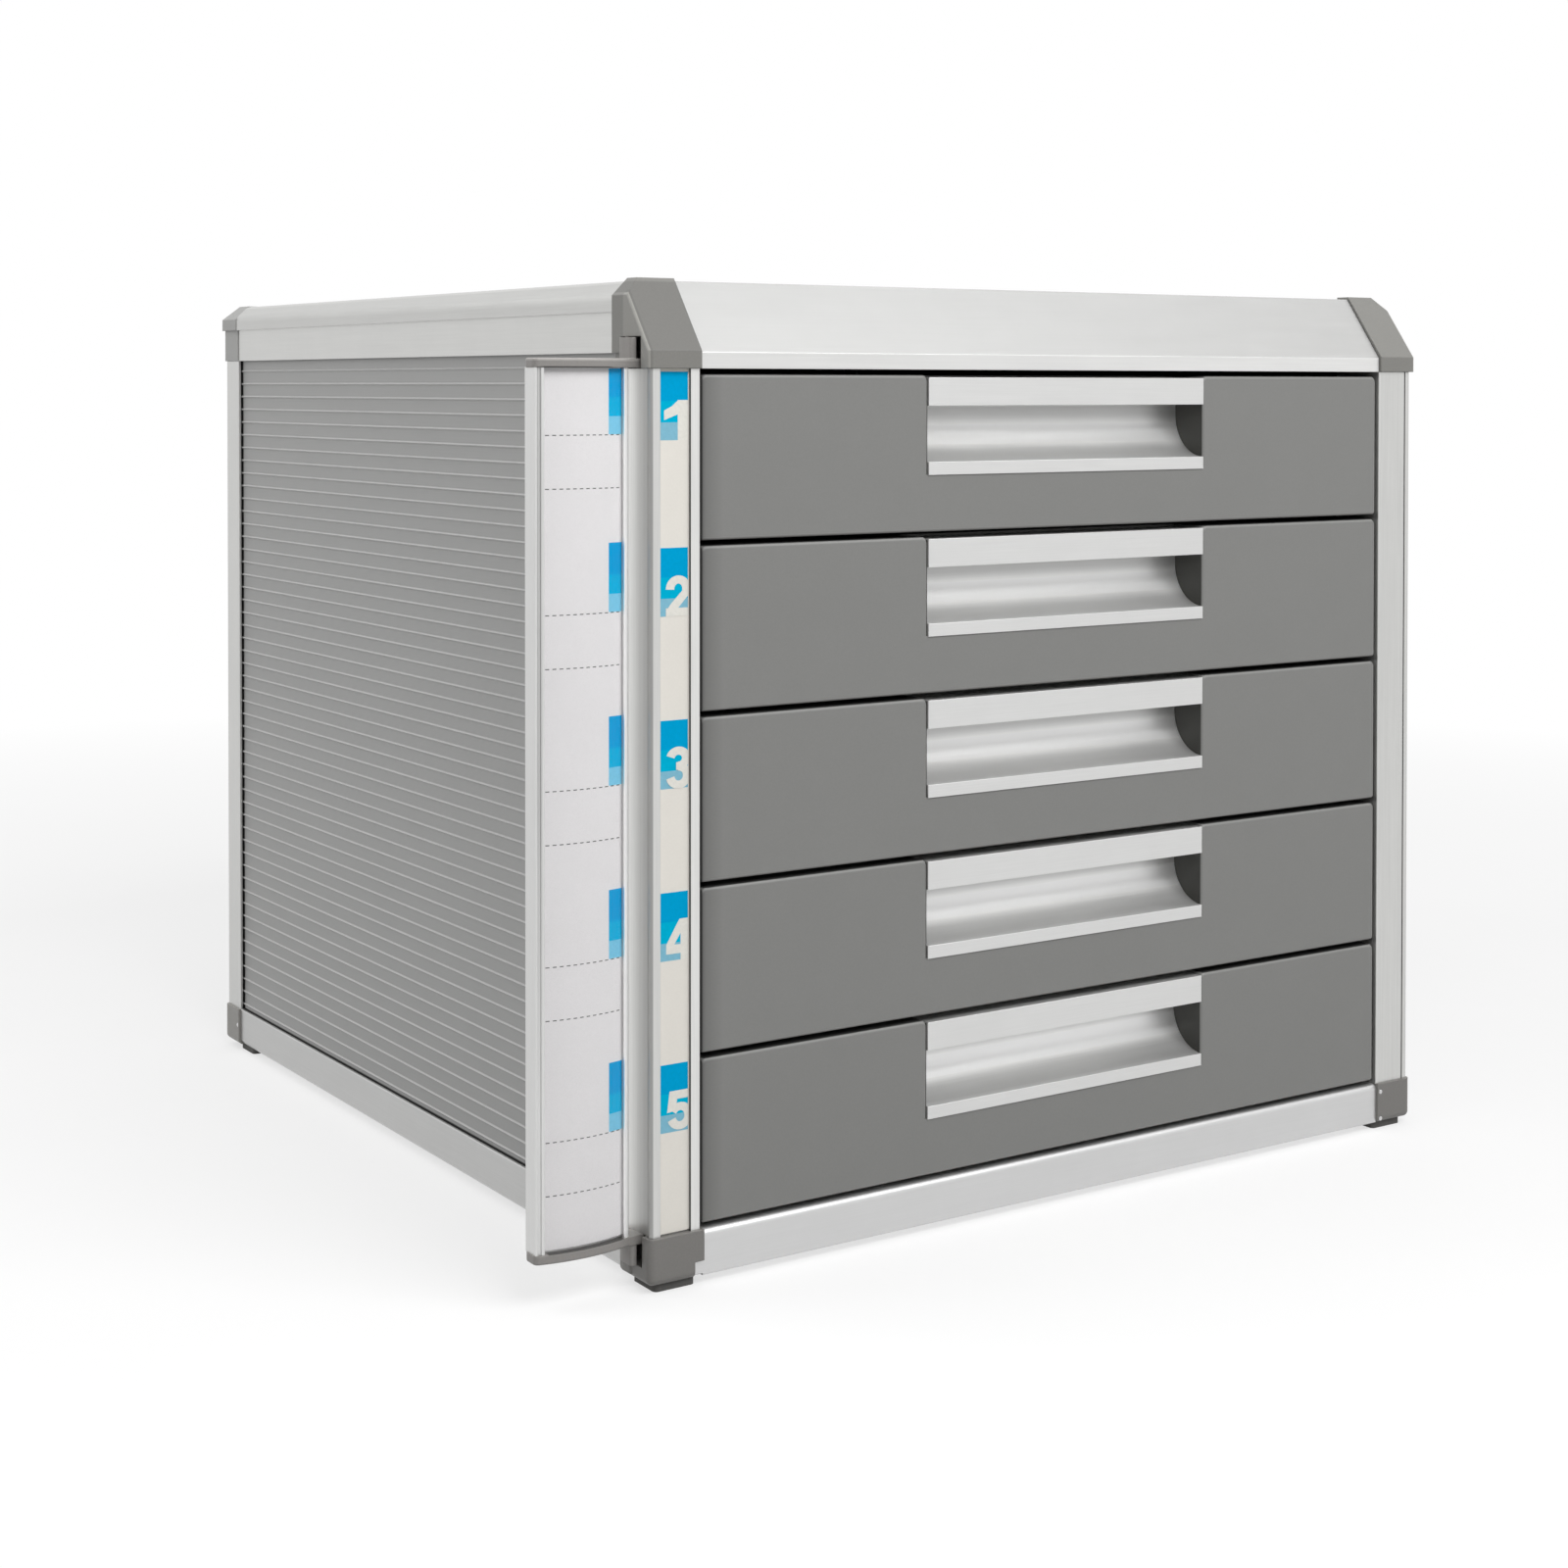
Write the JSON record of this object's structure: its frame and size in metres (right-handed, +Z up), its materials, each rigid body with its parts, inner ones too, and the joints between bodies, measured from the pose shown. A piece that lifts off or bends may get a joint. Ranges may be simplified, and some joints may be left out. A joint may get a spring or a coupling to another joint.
{
  "type": "desktop drawer organizer",
  "caption": "Desktop drawer organizer with an aluminium frame, grey plastic drawers with recessed handles, ribbed side panels and a hinged index panel.",
  "frame": {"origin": "on the table, under the middle of the whole box with the index panel open", "axes": "+X right seen from the front, +Y to the back, +Z up"},
  "size_m": [0.365, 0.3522, 0.3089],
  "materials": {
    "aluminium": "silver anodized, satin",
    "handle_aluminium": "silver anodized, satin",
    "grey_plastic": "moulded, fine texture",
    "drawer_plastic": "moulded, fine texture",
    "tray_plastic": "moulded, satin",
    "runner_plastic": "moulded, dark",
    "panel_board": "silver grey, ribbed",
    "label_film": "printed film, satin",
    "card": "printed card, matte",
    "clear_cover": "clear plastic sheet",
    "bright_steel": "bright plated",
    "rubber": "black, matte"
  },
  "bodies": {
    "cabinet": {"post_front_left": "aluminium", "post_front_right": "aluminium", "post_rear_left": "aluminium", "post_rear_right": "aluminium", "label_strip": "label_film", "lower_rail_front": "aluminium", "lower_rail_left": "aluminium", "lower_rail_right": "aluminium", "lower_rail_rear": "aluminium", "base_panel": "panel_board", "side_panel_left": "panel_board", "side_panel_right": "panel_board", "back_panel": "panel_board", "bottom_cap_front_left": "grey_plastic", "bottom_cap_front_right": "grey_plastic", "bottom_cap_rear_left": "grey_plastic", "bottom_cap_rear_right": "grey_plastic", "frame_pins": "bright_steel", "feet": "rubber", "upper_rail_left": "aluminium", "upper_rail_right": "aluminium", "upper_rail_rear": "aluminium", "top_front_rail": "aluminium", "top_panel": "aluminium", "top_cap_front_left": "grey_plastic", "top_cap_front_right": "grey_plastic", "top_cap_rear_left": "grey_plastic", "top_cap_rear_right": "grey_plastic", "runner_left": "runner_plastic", "runner_right": "runner_plastic", "runner_screws": "bright_steel"},
    "drawer_1": {"drawer_front_1": "drawer_plastic", "drawer_handle_1": "handle_aluminium", "drawer_tray_1": "tray_plastic", "drawer_screws_1": "bright_steel"},
    "drawer_2": {"drawer_front_2": "drawer_plastic", "drawer_handle_2": "handle_aluminium", "drawer_tray_2": "tray_plastic", "drawer_screws_2": "bright_steel"},
    "drawer_3": {"drawer_front_3": "drawer_plastic", "drawer_handle_3": "handle_aluminium", "drawer_tray_3": "tray_plastic", "drawer_screws_3": "bright_steel"},
    "drawer_4": {"drawer_front_4": "drawer_plastic", "drawer_handle_4": "handle_aluminium", "drawer_tray_4": "tray_plastic", "drawer_screws_4": "bright_steel"},
    "drawer_5": {"drawer_front_5": "drawer_plastic", "drawer_handle_5": "handle_aluminium", "drawer_tray_5": "tray_plastic", "drawer_screws_5": "bright_steel"},
    "index_panel": {"index_frame": "aluminium", "index_card": "card", "index_cover": "clear_cover", "index_cap_top": "grey_plastic", "index_cap_bottom": "grey_plastic"}
  },
  "joints": [
    {"name": "drawer_1_slide", "type": "slide", "parent": "cabinet", "child": "drawer_1", "axis": [0, -1, 0], "range_m": [0, 0.2495]},
    {"name": "drawer_2_slide", "type": "slide", "parent": "cabinet", "child": "drawer_2", "axis": [0, -1, 0], "range_m": [0, 0.2495]},
    {"name": "drawer_3_slide", "type": "slide", "parent": "cabinet", "child": "drawer_3", "axis": [0, -1, 0], "range_m": [0, 0.2495]},
    {"name": "drawer_4_slide", "type": "slide", "parent": "cabinet", "child": "drawer_4", "axis": [0, -1, 0], "range_m": [0, 0.2495]},
    {"name": "drawer_5_slide", "type": "slide", "parent": "cabinet", "child": "drawer_5", "axis": [0, -1, 0], "range_m": [0, 0.2495]},
    {"name": "index_panel_hinge", "type": "hinge", "parent": "cabinet", "child": "index_panel", "pos_m": [-0.1466, -0.16255, 0.0142], "axis": [0, 0, 1], "range_deg": [-90, 0]}
  ]
}
